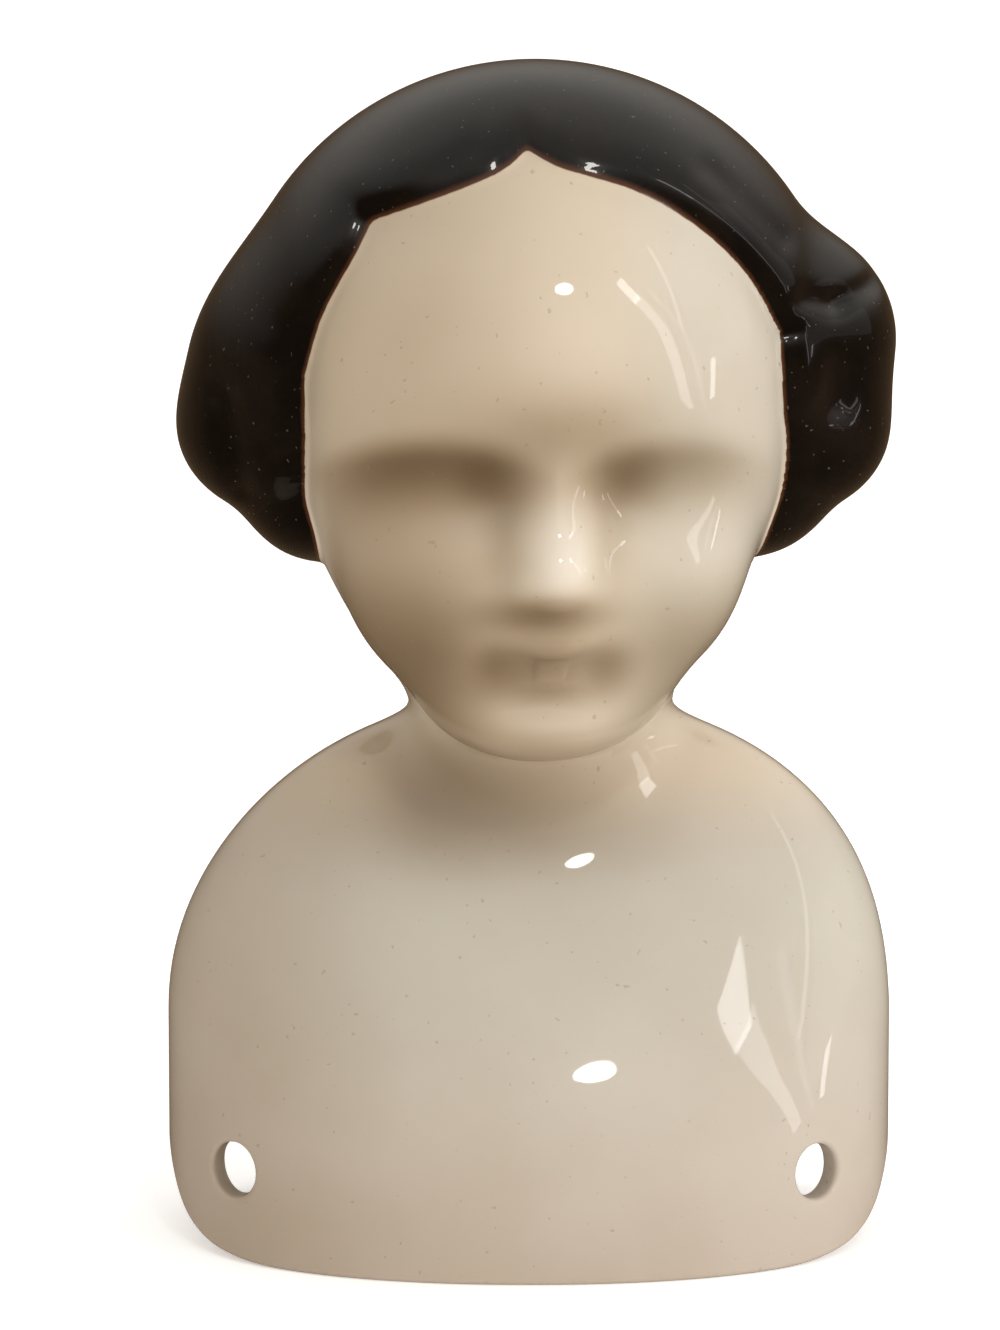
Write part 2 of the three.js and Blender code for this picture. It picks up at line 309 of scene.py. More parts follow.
def carve(a, b, blend):
    """Takes form b out of form a, with the edge rounded over a width of blend."""
    return -melt(-a, b, blend)


def ellipsoid(x, y, z, centre, radii):
    """How far a point lies outside an ellipsoid."""
    px, py, pz = x - centre[0], y - centre[1], z - centre[2]
    rx, ry, rz = radii
    size = np.sqrt((px / rx) ** 2 + (py / ry) ** 2 + (pz / rz) ** 2)
    slope = np.sqrt((px / rx**2) ** 2 + (py / ry**2) ** 2 + (pz / rz**2) ** 2)
    return size * (size - 1) / np.maximum(slope, 1e-9)


def rod(x, y, z, start, start_radius, end, end_radius):
    """A tapered rod on the middle line of the face."""
    dy, dz = end[0] - start[0], end[1] - start[1]
    t = np.clip(((y - start[0]) * dy + (z - start[1]) * dz) / (dy * dy + dz * dz), 0, 1)
    gap = np.sqrt(x**2 + (y - start[0] - t * dy) ** 2 + (z - start[1] - t * dz) ** 2)
    return gap - start_radius - t * (end_radius - start_radius)


def smoothstep(x, low, high):
    t = np.clip((x - low) / (high - low), 0, 1)
    return t * t * (3 - 2 * t)


def hump(x, middle, width):
    return np.exp(-(((x - middle) / width) ** 2))


def cusp(x, middle, width):
    return np.exp(0.2 - np.sqrt(((x - middle) / width) ** 2 + 0.04))


def round_over(z, start, end, fullness):
    """How wide a rounded shoulder still is at a height, as a share of its full width."""
    climb = np.clip((z - start) / (end - start), 0, 0.985)
    return (1 - climb**fullness) ** (1 / fullness)


def plate(x, y, z):
    width = PLATE_HALF_WIDTH * round_over(z, PLATE_WIDE_UP_TO, SHOULDER_TOP, SHOULDER_FULLNESS)
    over = z - CHEST_BEND_AT
    chest = PLATE_FRONT_DEPTH - CHEST_SLOPE * (over + np.hypot(over, CHEST_BEND)) / 2
    chest = np.maximum(chest, THROAT_DEPTH)
    back = PLATE_BACK_DEPTH * round_over(z, PLATE_DEEP_UP_TO, BACK_TOP, 2)
    depth = np.where(y < 0, chest, back)
    px = x - SHOULDER_LEAN * smoothstep(z, *SHOULDER_LEAN_HEIGHTS)
    across, along = np.abs(px) / width + 1e-6, np.abs(y) / depth + 1e-6
    n = PLATE_SQUARENESS
    size = (across**n + along**n) ** (1 / n)
    slope = size ** (1 - n) * np.hypot(across ** (n - 1) / width, along ** (n - 1) / depth)
    return np.maximum((size - 1) / slope, z - SHOULDER_TOP)


def neck(x, y, z):
    return np.maximum(np.hypot(x - NECK_X, y - NECK_Y) - NECK_RADIUS, z - NECK_TOP)


def face(x, y, z):
    """Skull and face in the head's own axes, with soft features that lean a little aside."""
    px = x - FACE_SHIFT - FACE_LEAN * z
    side = np.hypot(px, FACE_JOIN)
    d = ellipsoid(x, y, z, (0, 0, 0), (24.3, 25.3, 26))
    d = melt(d, ellipsoid(px, y, z, (0, -5.4, -12.6), (17.6, 18.8, 20.6)), 7)  # jaw
    d = melt(d, ellipsoid(side, y, z, (8.4, -13.2, -16.6), (8.7, 9, 9.6)), 4)  # cheeks
    d = melt(d, ellipsoid(px, y, z, (0, -16.6, -27.4), (9.4, 6.4, 5.6)), 6)  # chin
    d = melt(d, ellipsoid(px, y, z, (0, -16.6, -22.5), (8.5, 6, 6.5)), 6.5)  # round the mouth
    d = carve(d, ellipsoid(side, y, z, (10, -28, -9), (9.2, 5, 3.4)), 5.6)  # eye hollows
    d = carve(d, ellipsoid(side, y, z, (6, -25, -8.8), (2.6, 2.2, 2)), 3.4)  # their inner corners
    d = melt(d, rod(px, y, z, (-20.1, -6.4), 2.4, (-23.4, -15), 2.8), 3.4)  # bridge of the nose
    d = melt(d, ellipsoid(px, y, z, (0.2, -24.28, -15.9), (2.7, 2.8, 2.4)), 2)  # tip
    d = melt(d, ellipsoid(side, y, z, (2.2, -23.1, -16.8), (1.5, 1.9, 1.4)), 1.8)  # wings
    d = melt(d, ellipsoid(px, y, z, (0, -21.5, -22.3), (4.8, 1.6, 1.5)), 2)  # upper lip
    d = melt(d, ellipsoid(px, y, z, (0, -21.4, -25), (3.6, 1.5, 1.2)), 2)  # lower lip
    d = carve(d, ellipsoid(px, y, z, (0, -24.4, -23.7), (4.6, 1, 0.4)), 0.9)  # between them
    d = carve(d, ellipsoid(side, y, z, (5, -24.8, -23.9), (2.2, 1.5, 1.8)), 2.4)  # corners
    d = carve(d, ellipsoid(px, y, z, (0, -24.4, -27), (4.2, 1.4, 0.9)), 2)  # below the lower lip
    return d


def outside_hairline(x, z):
    """How far a point of the head lies outside the hairline, as seen from the front."""
    angle = np.degrees(np.arctan2(np.maximum(z, 0), x))
    aside = (angle - HAIRLINE_MIDDLE) / HAIRLINE_MIDDLE
    widens = np.where(aside < 0, *HAIRLINE_WIDENS)
    radius = HAIRLINE_RADIUS + widens * aside**2
    radius = radius + TEMPLE_STEP * smoothstep(angle, *TEMPLE_ANGLES)
    for middle, height, width in HAIRLINE_POINTS:
        radius = radius + height * cusp(angle, middle, width)
    return np.hypot(x, np.maximum(z, 0)) - radius + HAIRLINE_NARROWS * np.minimum(z, 0) ** 2


def hair_mass(x, y, z):
    """The mass of the moulded hair in the head's own axes: a cap, and a puff over each ear."""
    cap = ellipsoid(x, y, z, (-0.1, 1.3, 0.4), (28.3, 27.4, 27.7))
    d = carve(cap, z + 6, 5)
    d = melt(d, ellipsoid(x, y, z, (-21.4, 1.5, -1.8), (10.4, 13, 11.8)), 6)
    d = melt(d, ellipsoid(x, y, z, (-23.2, 1.8, -5.4), (9.2, 12, 7.4)), 3)
    d = melt(d, ellipsoid(x, y, z, (23, 1.5, 2.6), (10, 12.6, 10.4)), 3)
    return melt(d, ellipsoid(x, y, z, (22.6, 1.8, -5.2), (10, 12.4, 8.6)), 3)


def dents(x, z):
    """How deep the worn dents and folds in the front of the hair are."""
    deep = 0
    for (ax, az), (bx, bz), depth, width in HAIR_DENTS:
        along = ((x - ax) * (bx - ax) + (z - az) * (bz - az)) / ((bx - ax) ** 2 + (bz - az) ** 2)
        t = np.clip(along, 0, 1)
        gap = np.hypot(x - ax - t * (bx - ax), z - az - t * (bz - az))
        deep = deep + depth * np.exp(-((gap / width) ** 2))
    return deep


def hair(x, y, z, bare):
    """The whole hair in the head's own axes, for a bare head whose distance is known."""
    d = hair_mass(x, y, z) + dents(x, z) * smoothstep(-y, *DENTED_DEPTHS)
    d = melt(d, ellipsoid(x, y, z, (-19, 2.4, -12.4), (7.2, 10.5, 5.3)), 2.4)
    d = melt(d, ellipsoid(x, y, z, (18.2, 2.6, -12.4), (8.3, 10.6, 5.3)), 2.4)
    for k in range(CURLS):
        turn = CURLS_SPREAD * (k / (CURLS - 1) - 0.5)
        middle = (CURL_RING[0] * math.sin(turn), CURL_RING[1] * math.cos(turn), CURL_RING[2])
        d = melt(d, ellipsoid(x, y, z, middle, CURL_SIZE), 2.6)
    top = smoothstep(z, *ROLL_HEIGHTS)
    roll = top * ROLL_SLOPE * np.maximum(bare, -1)
    puff = (1 - top) * (PUFF_FLARE * (PUFF_FRONT - y) - PUFF_OVERHANG)
    wall = (outside_hairline(x, z) - roll - puff) / np.sqrt(1 + (top * ROLL_SLOPE) ** 2)
    crest = ROLL_CREST + (1 - top) * (PUFF_CREST - ROLL_CREST)
    return carve(d, np.maximum(wall, y - EDGE_BACK), crest)


def into_head(x, y):
    """A point's place across and along the turned head."""
    px, py = x - HEAD_X, y - HEAD_Y
    c, s = math.cos(HEAD_TURN), math.sin(HEAD_TURN)
    return px * c + py * s, py * c - px * s


def skin(x, y, z):
    """All that isn't hair."""
    hx, hy = into_head(x, y)
    head = melt(face(hx, hy, z - HEAD_Z), neck(x, y, z), 5)
    return melt(head, plate(x, y, z), 3.5)


def outside(x, y, z):
    """The head and plate as they are seen, with the hair melted on."""
    hx, hy = into_head(x, y)
    bare = skin(x, y, z)
    return melt(bare, hair(hx, hy, z - HEAD_Z, bare), 0.6) + GLAZE_INSET


def inside(x, y, z):
    """The hollow, a wall's thickness or more in from the outside, and smooth behind the hair."""
    hx, hy = into_head(x, y)
    smooth = melt(skin(x, y, z), hair_mass(hx, hy, z - HEAD_Z), 4)
    return np.maximum(smooth, outside(x, y, z)) + WALL


def bezier(points, steps):
    """Points along a curve that its control points pull, without its first one."""
    made = []
    for k in range(1, steps + 1):
        t = k / steps
        level = [Vector(p) for p in points]
        while len(level) > 1:
            level = [a.lerp(b, t) for a, b in zip(level, level[1:])]
        made.append(tuple(level[0]))
    return made


def arc(radius, start, end, steps):
    """Points along an arc round the skull's centre, without its first one."""
    turns = [math.radians(start + (end - start) * k / steps) for k in range(1, steps + 1)]
    return [(radius * math.cos(t), HEAD_Z + radius * math.sin(t)) for t in turns]


def profile(inset, rows):
    """A blank's profile from the rim to the crown, as radius and height."""
    edge = PLATE_HALF_WIDTH - inset
    nape = (NAPE_RADIUS - inset, NAPE_HEIGHT)
    throat = (THROAT_RADIUS - inset, THROAT_HEIGHT)
    skull = SKULL_RADIUS - inset
    under = arc(skull, 0, SKULL_FOOT, 1)[0]
    made = [(edge, SIDE_TOP * k / rows["side"]) for k in range(rows["side"] + 1)]
    made += bezier([(edge, SIDE_TOP), (edge, SHOULDER_BEND), nape], rows["shoulder"])
    made += bezier([nape, throat, under], rows["throat"])
    made += arc(skull, SKULL_FOOT, FACE_TOP, rows["face"])
    made += arc(skull, FACE_TOP, 90, rows["crown"])
    made[-1] = (0, made[-1][1])
    return np.array(made)


def heart(z):
    """The point that a row is pressed away from, for its height."""
    upper = smoothstep(z, *HEART_RISES)
    lower = np.minimum(z, SIDE_TOP)
    y = HEART_BOW * upper * (1 - upper) + HEART_Y * upper
    return HEART_X * upper, y, lower + upper * (HEART_Z - lower)


def bend(t, a, b, c, d):
    """A curve's place between a and d, pulled by b and c."""
    u = 1 - t
    return u**3 * a + 3 * u * u * t * b + 3 * u * t * t * c + t**3 * d


def rim_height(y):
    """How high the rim stands at a depth: level in front and behind, arched at the sides."""
    t = np.linspace(0, 1, 40)
    climb = 3 * t**2 - 2 * t**3
    foot, top = ARCH_FRONT_REACH
    front = bend(t, ARCH_FRONT, ARCH_FRONT + foot, ARCH_MIDDLE - top, ARCH_MIDDLE)
    top, foot = ARCH_BACK_REACH
    back = bend(t, ARCH_MIDDLE, ARCH_MIDDLE + top, ARCH_BACK - foot, ARCH_BACK)
    depth = np.concatenate([front, back[1:]])
    height = np.concatenate([climb, 1 - climb[1:]])
    return ARCH_HEIGHT * np.interp(y, depth, height)


def press(form, middle, heading):
    """How far each vertex goes from the middle along its heading until it lies on the form."""
    shape = np.broadcast(*middle, *heading).shape
    start = [np.broadcast_to(m, shape).ravel() for m in middle]
    way = [np.broadcast_to(h, shape).ravel() for h in heading]

    def at(t, some):
        return form(*(m[some] + t * h[some] for m, h in zip(start, way)))

    within = np.zeros(start[0].size)
    without = np.zeros(start[0].size)
    going = np.arange(start[0].size)
    stride = np.full(start[0].size, FIRST_STRIDE)
    while going.size:
        ahead = within[going] + stride[going]
        deep = at(ahead, going)
        still = deep < 0
        without[going[~still]] = ahead[~still]
        going = going[still]
        within[going] = ahead[still]
        stride[going] = np.maximum(-STRIDE_BY_DEPTH * deep[still], LEAST_STRIDE)
    everything = np.arange(start[0].size)
    for _ in range(HALVINGS):
        half = (within + without) / 2
        still = at(half, everything) < 0
        within = np.where(still, half, within)
        without = np.where(still, without, half)
    return ((within + without) / 2).reshape(shape)


def press_rows(points, form, lip):
    """Presses a profile's rows onto a form, as an array of row, column and x, y, z."""
    radius = points[:, :1]
    z = np.repeat(points[:, 1:], COLUMNS, axis=1)
    level = z.copy()
    for _ in range(2):
        middle = heart(level)
        lowered = DIP * np.cos(ANGLE) * hump(level, DIP_HEIGHT, DIP_WIDTH)
        flat = 1 - FLATNESS * smoothstep(-level, -ROUND_FROM, -FLAT_UP_TO)
        heading = [
            radius * np.sin(ANGLE) - middle[0],
            -radius * flat * np.cos(ANGLE) - middle[1],
            level - lowered * (level > SIDE_TOP) - middle[2],
        ]
        length = np.sqrt(sum(h * h for h in heading))
        heading = [h / length for h in heading]
        far = press(form, middle, heading)
        made = np.stack([m + far * h for m, h in zip(middle, heading)], axis=-1)
        foot = rim_height(made[:, :, 1]) + lip
        share = np.clip(z / SIDE_TOP, 0, 1)
        level = np.where(z < SIDE_TOP, foot + share * (SIDE_TOP - foot), z)
    return made


def open_holes(rows, form, sign):
    """Moves a wall's vertices onto rings round the sewing holes. Returns each hole's middle."""
    found = []
    for x, y, z, heading in HOLES:
        turn = math.radians(heading)
        out = np.array([math.sin(turn), -math.cos(turn), 0])
        aside = np.array([math.cos(turn), math.sin(turn), 0])
        centre = np.array([x, y, z])
        offset = rows - centre
        gap = np.hypot(offset @ aside, offset[:, :, 2]) + 1e3 * (offset @ out < -HOLE_BEHIND)
        row, column = np.unravel_index(np.argmin(gap), gap.shape)
        across = np.arange(-HOLE_BLOCK - HOLE_REACH, HOLE_BLOCK + HOLE_REACH + 1)
        di, dj = (g.ravel() for g in np.meshgrid(across, across))
        ring = np.maximum(abs(di), abs(dj)) - HOLE_BLOCK
        near = (ring >= 0) & (ring < HOLE_REACH) & (row + dj > 0)
        di, dj, ring = di[near], dj[near], ring[near]
        j, i = row + dj, (column + di) % COLUMNS
        wide, high = di / (HOLE_BLOCK + ring), dj / (HOLE_BLOCK + ring)
        around = np.arctan2(np.sin(high * math.pi / 4), np.sin(wide * math.pi / 4))
        fillet = np.radians(90 / ROUNDING_RINGS * np.maximum(ROUNDING_RINGS - ring, 0))
        radius = HOLE_RADIUS + HOLE_ROUNDING * (1 - np.sin(fillet))
        depth = HOLE_ROUNDING * (1 - np.cos(fillet))
        share = np.maximum(ring - ROUNDING_RINGS, 0) / (HOLE_REACH - ROUNDING_RINGS)
        own = rows[j, i] - centre
        p = (1 - share) * radius * np.cos(around) + share * (own @ aside)
        q = (1 - share) * radius * np.sin(around) + share * own[:, 2]
        spot = centre + np.outer(p, aside) + np.outer(q, (0, 0, 1)) + np.outer(own @ out, out)
        for _ in range(SETTLINGS):
            spot = spot - np.outer(form(*spot.T) / WALL_SLANT, out)
        rows[j, i] = spot - sign * np.outer(depth, out)
        found.append((row, column))
    return found


def lip_rows(outer, inner):
    """The rounded lip of the rim, from the outer wall's foot to the inner wall's."""
    made = []
    a, b = outer[0], inner[0]
    width = np.linalg.norm((b - a)[:, :2], axis=1)
    turns = [math.radians(90 * k / LIP_ROWS) for k in range(1, LIP_ROWS + 1)]
    steps = [(LIP_ROUNDING * (1 - math.cos(t)), LIP_ROUNDING * (1 - math.sin(t))) for t in turns]
    for inset, height in steps:
        share = (inset / width)[:, None]
        made.append(a + (b - a) * share + np.array([0, 0, height - LIP_ROUNDING]))
    made.append((a + b) / 2 - np.array([0, 0, LIP_ROUNDING]))
    for inset, height in reversed(steps):
        share = (inset / width)[:, None]
        made.append(b + (a - b) * share + np.array([0, 0, height - LIP_ROUNDING]))
    return np.array(made)


def hole_edge(bm, grid, row, column, way):
    """The edges round a hole's block, whose vertices inside are already taken out."""
    n = HOLE_BLOCK
    steps = [(k, -n) for k in range(-n, n)] + [(n, k) for k in range(-n, n)]
    steps += [(-k, n) for k in range(-n, n)] + [(-n, -k) for k in range(-n, n)]
    loop = [grid[row + way * dj][(column + di) % COLUMNS] for di, dj in steps]
    return [bm.edges.get(pair) for pair in zip(loop, loop[1:] + loop[:1])]


def whole_shell():
    """The shell as one closed surface: inner crown, inner wall, lip, outer wall, outer crown."""
    outer = press_rows(profile(0, OUTER_ROWS), outside, LIP_ROUNDING)
    inner = press_rows(profile(WALL, INNER_ROWS), inside, LIP_ROUNDING)
    lip = lip_rows(outer, inner)
    outer_holes = open_holes(outer, outside, 1)
    inner_holes = open_holes(inner, inside, -1)
    rows = np.concatenate([inner[::-1], lip[::-1], outer])
    last = len(rows) - 1
    walls = [(row + len(inner) + len(lip), column, 1) for row, column in outer_holes]
    walls += [(len(inner) - 1 - row, column, -1) for row, column in inner_holes]

    bm = bmesh.new()
    bmesh.ops.create_grid(bm, x_segments=COLUMNS, y_segments=last, size=1)
    grid = [[None] * (COLUMNS + 1) for _ in rows]
    for vert in bm.verts:
        column = round((vert.co.x + 1) / 2 * COLUMNS)
        row = round((vert.co.y + 1) / 2 * last)
        vert.co = rows[row, column % COLUMNS] * MM
        grid[row][column] = vert
    seam = [v for row in (grid[0], grid[last]) for v in row]
    seam += [row[k] for row in grid[1:last] for k in (0, COLUMNS)]
    bmesh.ops.remove_doubles(bm, verts=seam, dist=1e-7)
    within = range(1 - HOLE_BLOCK, HOLE_BLOCK)
    taken = [
        grid[row + dj][(column + di) % COLUMNS]
        for row, column, way in walls
        for dj in within
        for di in within
    ]
    bmesh.ops.delete(bm, geom=taken, context="VERTS")
    rims = [hole_edge(bm, grid, row, column, way) for row, column, way in walls]
    rungs = []
    for through in zip(rims, rims[len(HOLES):]):
        made = bmesh.ops.bridge_loops(bm, edges=through[0] + through[1])
        rungs += made["edges"]
    bmesh.ops.subdivide_edges(bm, edges=rungs, cuts=BORE_CUTS)
    return bm


def add(bm, name, material):
    """Makes an object of a bmesh, with smooth faces that point outwards."""
    bmesh.ops.recalc_face_normals(bm, faces=bm.faces)
    for part in bm.faces:
        part.smooth = True
    mesh = bpy.data.meshes.new(name)
    bm.to_mesh(mesh)
    bm.free()
    mesh.materials.append(material)
    piece = bpy.data.objects.new(name, mesh)
    bpy.context.scene.collection.objects.link(piece)
    return piece


def soft_places(aside, up, places):
    """How strongly a list of soft round places is felt at a point of the head."""
    felt = 0
    for strength, middle, height, wide, tall, both in places:
        across = ((np.abs(aside) if both else aside) - middle) / wide
        felt = felt + strength * np.exp(-(across**2) - ((up - height) / tall) ** 2)
    return felt


def brow_pools_and_shade(aside, up):
    """The brown in the eye hollows, partly glaze pools and partly painted shade, with a crisp
    arched top and a soft foot.
    """
    across = (np.abs(aside) - BROW_ASIDE) / BROW_WIDTH
    drop = up - BROW_HEIGHT + BROW_ARCH * across**2
    tall = np.where(drop > 0, BROW_UP, BROW_DOWN)
    strength = BROW_POOL_AND_SHADE - BROW_SHADE_FADE * aside
    return strength * np.exp(-(np.abs(across) ** 3) - (drop / tall) ** 2)


def cheek_shade(aside, up):
    """Painted shade on the lower cheeks, and over the side away from the window."""
    low = 0.38 * smoothstep(-up, 14, 24) * smoothstep(np.abs(aside), 3, 12)
    return low + smoothstep(-aside, -2, 14) * (0.12 + 0.18 * smoothstep(-up, 4, 20))


def plate_shade(x, z):
    """Painted shade on the shoulder away from the window, and a little darker along the rim."""
    shoulder = 0.11 * smoothstep(-x, 4, 28) * (1 - smoothstep(z, 44, 52))
    return shoulder + 0.03 * (1 - smoothstep(z, 1, 14))


def stamp(mesh, name, values):
    """Keeps a value for each vertex, which the glaze reads by name."""
    mesh.attributes.new(name, "FLOAT", "POINT").data.foreach_set("value", values.astype(np.float32))


def mark(mesh):
    """Stamps where the hair and the plate are, where glaze is missing, the brown of painted shade
    and glaze pools, and the paler cream of painted light, partly where glaze is thin.
    """
    spots = np.empty(len(mesh.vertices) * 3, np.float32)
    mesh.vertices.foreach_get("co", spots)
    x, y, z = spots.reshape(-1, 3).T.astype(float) / MM
    hx, hy = into_head(x, y)
    up = z - HEAD_Z
    aside = hx - FACE_SHIFT - FACE_LEAN * up
    within = inside(x, y, z)
    front = smoothstep(-hy, *FACE_FRONT)
    on_face = front * (up > CHIN_FOOT)
    on_plate = 1 - smoothstep(z, *PLATE_ENDS)

    skin_depth = skin(x, y, z)
    hair_edge = skin_depth - hair(hx, hy, up, skin_depth)
    stamp(mesh, "hair", np.clip(np.where(within < INNER_WALL, -1, hair_edge), -3, 3))
    # Brown painted shade in the hollows and under the features, with some glaze pooling, and
    # painted shadow on the throat
    pooled_and_shade = brow_pools_and_shade(aside, up) + soft_places(aside, up, FACE_POOLS_AND_SHADE) + cheek_shade(aside, up)
    pooled_and_shade = on_face * pooled_and_shade + soft_places(aside, up, THROAT_SHADOW) + plate_shade(x, z)
    stamp(mesh, "pooled_and_shade", np.clip(pooled_and_shade, 0, MOST_POOLED_AND_SHADE))
    # Painted light on the nose and chin
    stamp(mesh, "proud_painted_light", np.clip(front * soft_places(aside, up, PROUD_PAINTED_LIGHT_PLACES), 0, 1))
    # Painted light: the plate paler upwards from the rim and away from the shaded shoulder, and the
    # lit cheek paler
    pale = on_plate * smoothstep(z, *PAINTED_LIGHT_RISES) * (1 - 0.7 * smoothstep(-x, *SHADED_SHOULDER))
    pale = pale + 0.7 * on_face * smoothstep(aside, *LIT_CHEEK)
    stamp(mesh, "pale", np.clip(pale, 0, 1))
    stamp(mesh, "plate", on_plate)
    stamp(mesh, "bare", 1 - smoothstep(within, *BARE_DEPTHS))


class Wire:
    """A value in a node tree. Sums with wires and numbers become Math nodes."""

    def __init__(self, nodes, socket):
        self.nodes, self.socket = nodes, socket

    def sum(self, kind, a, b):
        return self.nodes.node("ShaderNodeMath", {"operation": kind}, {0: a, 1: b})

    def __add__(self, other):
        return self.sum("ADD", self, other)

    def __sub__(self, other):
        return self.sum("SUBTRACT", self, other)

    def __rsub__(self, other):
        return self.sum("SUBTRACT", other, self)

    def __mul__(self, other):
        return self.sum("MULTIPLY", self, other)

    __radd__, __rmul__ = __add__, __mul__

    def over(self, low, high):
        """0 below low, 1 above high and smooth between."""
        sockets = {"Value": self, "From Min": low, "From Max": high}
        return self.nodes.node("ShaderNodeMapRange", {"interpolation_type": "SMOOTHSTEP"}, sockets)


class Nodes:
    """A node tree under construction."""

    def __init__(self, tree):
        self.tree = tree

    def feed(self, node, sockets):
        """Sets a node's sockets, by name or place, to values or wires."""
        for socket, value in sockets.items():
            if isinstance(value, Wire):
                self.tree.links.new(value.socket, node.inputs[socket])
            else:
                node.inputs[socket].default_value = value

    def node(self, kind, settings, sockets, out=0):
        """Makes a node from its type, its settings and the values or wires of its sockets."""
        made = self.tree.nodes.new(kind)
        for name, value in settings.items():
            setattr(made, name, value)
        self.feed(made, sockets)
        return Wire(self, made.outputs[out])

    def mix(self, share, a, b, kind="MIX"):
        """A colour between a and b, or another blend of the two."""
        settings = {"data_type": "RGBA", "blend_type": kind}
        return self.node("ShaderNodeMix", settings, {0: share, 6: a, 7: b}, out=2)


class Finish(Nodes):
    """A material under construction."""

    def __init__(self, name):
        self.material = bpy.data.materials.new(name)
        self.material.use_nodes = True
        super().__init__(self.material.node_tree)

    def stamped(self, name):
        return self.node("ShaderNodeAttribute", {"attribute_name": name}, {}, out="Fac")

    def noise(self, scale, detail):
        place = self.node("ShaderNodeTexCoord", {}, {}, out="Object")
        sockets = {"Vector": place, "Scale": scale, "Detail": detail}
        return self.node("ShaderNodeTexNoise", {}, sockets)

    def shade(self, sockets):
        self.feed(self.tree.nodes["Principled BSDF"], sockets)
        return self.material


def glaze():
    """Cream glaze with painted light, brown pools and painted shade, black glaze on the hair, and
    bare porcelain inside.
    """
    f = Finish("porcelain_glaze")
    hair_edge = f.stamped("hair")
    wobble = (f.noise(900, 2) - 0.5) * 0.12
    on_hair = (hair_edge + wobble).over(-0.06, 0.06)
    thick = (hair_edge + wobble).over(0, 0.5)
    patches = f.noise(60, 3).over(0.35, 0.7)
    specks = f.noise(1500, 1).over(0.74, 0.78)
    dust = f.noise(2300, 1).over(0.74, 0.77)
    bare = f.stamped("bare")

    cream = f.mix(f.stamped("plate"), f.mix(patches, *FACE_CREAM), f.mix(patches, *PLATE_CREAM))
    # Painted light: lit cream on the plate and on the lit cheek
    cream = f.mix(f.stamped("pale"), cream, f.mix(patches, *LIT_CREAM))
    # Painted light on the nose and chin, where the glaze is also thinner
    cream = f.mix(f.stamped("proud_painted_light") * 0.7, cream, PROUD_PAINTED_LIGHT_CREAM)
    # Brown painted shade, with some glaze pooling in the hollows
    brown = f.node("ShaderNodeGamma", {}, {"Color": POOLED_AND_SHADE_BROWN, "Gamma": f.stamped("pooled_and_shade")})
    cream = f.mix(1.0, cream, brown, "MULTIPLY")
    cream = f.mix(specks * 0.35, cream, SPECK_BROWN)
    black = f.mix(f.noise(140, 3).over(0.4, 0.75), *HAIR_BLACK)
    black = f.mix(1 - thick, black, THIN_BROWN)
    black = f.mix(dust * 0.5, black, DUST_BROWN)
    colour = f.mix(bare, f.mix(on_hair, cream, black), BARE_PORCELAIN)
    ripple = f.noise(85, 1) * 0.7 + f.noise(260, 2) * 0.12 + specks * 0.25
    bump = f.node("ShaderNodeBump", {}, {"Strength": 0.35, "Distance": 0.0004, "Height": ripple})
    return f.shade({
        "Base Color": colour,
        "Roughness": 0.32 + f.noise(400, 2) * 0.1 - on_hair * 0.12 + bare * 0.4,
        "Normal": bump,
        "Coat Weight": 1 - bare - on_hair * 0.58,
        "Coat Roughness": 0.035,
        "Coat IOR": 1.5,
        "Specular IOR Level": 0.1,
        "Subsurface Weight": 0.12,
        "Subsurface Radius": (0.004, 0.0022, 0.0012),
        "Subsurface Scale": 0.6,
    })


def pale_paper():
    f = Finish("pale_paper")
    darker = [PAPER_SHADE * c for c in PAPER_WHITE]
    return f.shade({
        "Base Color": f.mix(f.noise(6, 1), (*PAPER_WHITE, 1), (*darker, 1)),
        "Roughness": PAPER_ROUGHNESS,
        "Emission Color": (1, 1, 1, 1),
        "Emission Strength": PAPER_GLOW,
    })


def place_camera():
    camera = bpy.data.objects.new("camera", bpy.data.cameras.new("camera"))
    bpy.context.scene.collection.objects.link(camera)
    bpy.context.scene.camera = camera
    back = Vector((0, -math.cos(CAMERA_UP), math.sin(CAMERA_UP)))
    camera.location = AIM + back * DISTANCE
    camera.rotation_euler = back.to_track_quat("Z", "Y").to_euler()
    seen_height = PICTURE_ROWS * ROW_SIZE * MM
    camera.data.lens = camera.data.sensor_width * DISTANCE / seen_height
    camera.data.clip_start = NEAREST_SEEN


def lay_paper():
    """The sheet of paper, which lights the head from below and isn't mirrored in the glaze."""
    bm = bmesh.new()
    verts = [bm.verts.new((-PAPER_HALF_WIDTH, y, z)) for y, z in PAPER_LINE]
    line = [bm.edges.new(pair) for pair in zip(verts, verts[1:])]
    made = bmesh.ops.extrude_edge_only(bm, edges=line)["geom"]
    across = [g for g in made if isinstance(g, bmesh.types.BMVert)]
    bmesh.ops.translate(bm, verts=across, vec=(2 * PAPER_HALF_WIDTH, 0, 0))
    sweep = add(bm, "sweep", pale_paper())
    sweep.visible_glossy = False
    return sweep


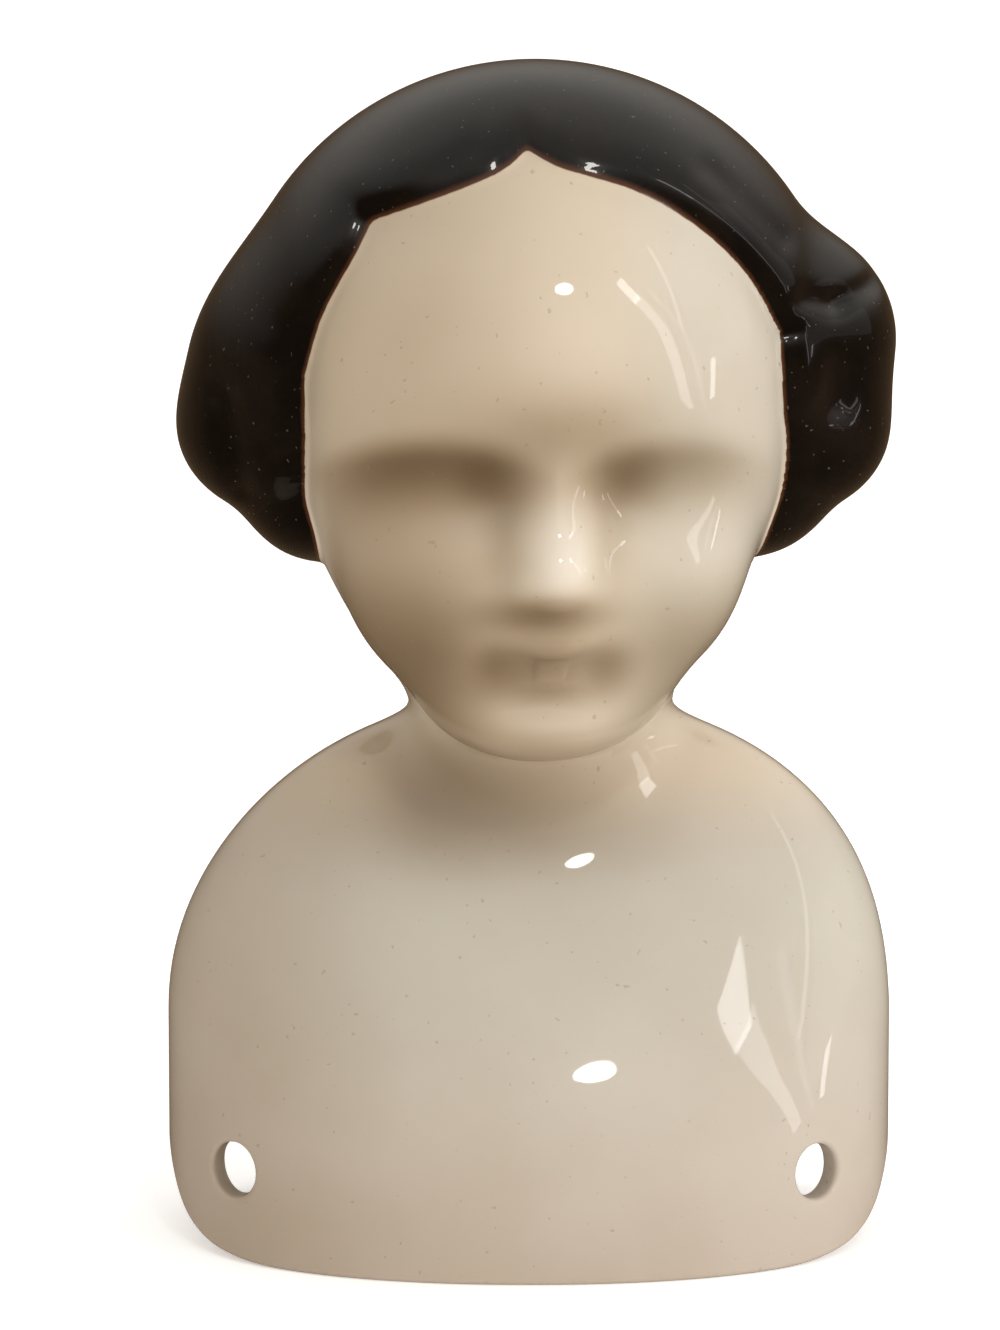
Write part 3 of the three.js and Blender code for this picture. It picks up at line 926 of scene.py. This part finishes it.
def lamp(name, around, up, far, size, strength, colour, tilt=0, shape="RECTANGLE", mirrored=True):
    """A lamp facing the head, by its angles round and up in degrees, distance and brightness."""
    light = bpy.data.lights.new(name, "AREA")
    light.shape = shape
    light.size, light.size_y = size
    light.energy = strength * math.pi * size[0] * size[1]
    light.color = colour
    around, up = math.radians(around), math.radians(up)
    way = Vector((math.sin(around) * math.cos(up), -math.cos(around) * math.cos(up), math.sin(up)))
    made = bpy.data.objects.new(name, light)
    bpy.context.scene.collection.objects.link(made)
    made.location = LAMP_AIM + far * way
    turned = way.to_track_quat("Z", "Y") @ Quaternion((0, 0, 1), math.radians(tilt))
    made.rotation_euler = turned.to_euler()
    made.visible_glossy = mirrored


def hang_lamps():
    """Two soft lights that aren't mirrored, a window on the figure's left, and a ceiling spot."""
    lamp("front_fill", 24, 9, 1.3, (1.8, 1.2), 0.8, FRONT_WHITE, mirrored=False)
    lamp("window_fill", 86, 6, 1.3, (1.1, 1.1), 1.4, SKY_WHITE, mirrored=False)
    lamp("window", 90, 22, 1.2, (0.8, 0.75), 0.3, WINDOW_WHITE)
    lamp("window_gap", 60, 13, 1.1, (0.08, 0.8), 2.6, WINDOW_WHITE, WINDOW_TILT)
    lamp("window_top", 45, 32, 1.1, (0.07, 0.2), 6, WINDOW_WHITE, WINDOW_TILT)
    lamp("window_second", 68, 14, 1.1, (0.03, 0.8), 0.9, WINDOW_LILAC, WINDOW_TILT)
    lamp("window_upper", 67, 30, 1.1, (0.03, 0.55), 2, WINDOW_LILAC)
    lamp("window_low", 82, 3, 1.1, (0.05, 0.14), 5, WINDOW_WHITE)
    lamp("ceiling_spot", 12.5, 36, 0.8, (0.10, 0.06), 30, CEILING_WHITE, shape="ELLIPSE")


def surround():
    """The room all round, which the glaze mirrors."""
    room = bpy.data.worlds.new("room")
    bpy.context.scene.world = room
    room.use_nodes = True
    nodes = Nodes(room.node_tree)
    way = nodes.node("ShaderNodeTexCoord", {}, {}, out="Generated")
    height = nodes.node("ShaderNodeSeparateXYZ", {}, {"Vector": way}, out="Z")
    shade = nodes.mix(height.over(ROOM_LOW, ROOM_HIGH), ROOM_BROWN, ROOM_PALE)
    nodes.feed(room.node_tree.nodes["Background"], {"Color": shade})


place_camera()

head = add(whole_shell(), "glazed_head", glaze())
mark(head.data)
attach(head, "root")
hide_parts("shoulder_head")

sweep = lay_paper()
hang_lamps()
surround()
bpy.context.scene.view_settings.view_transform = "Standard"
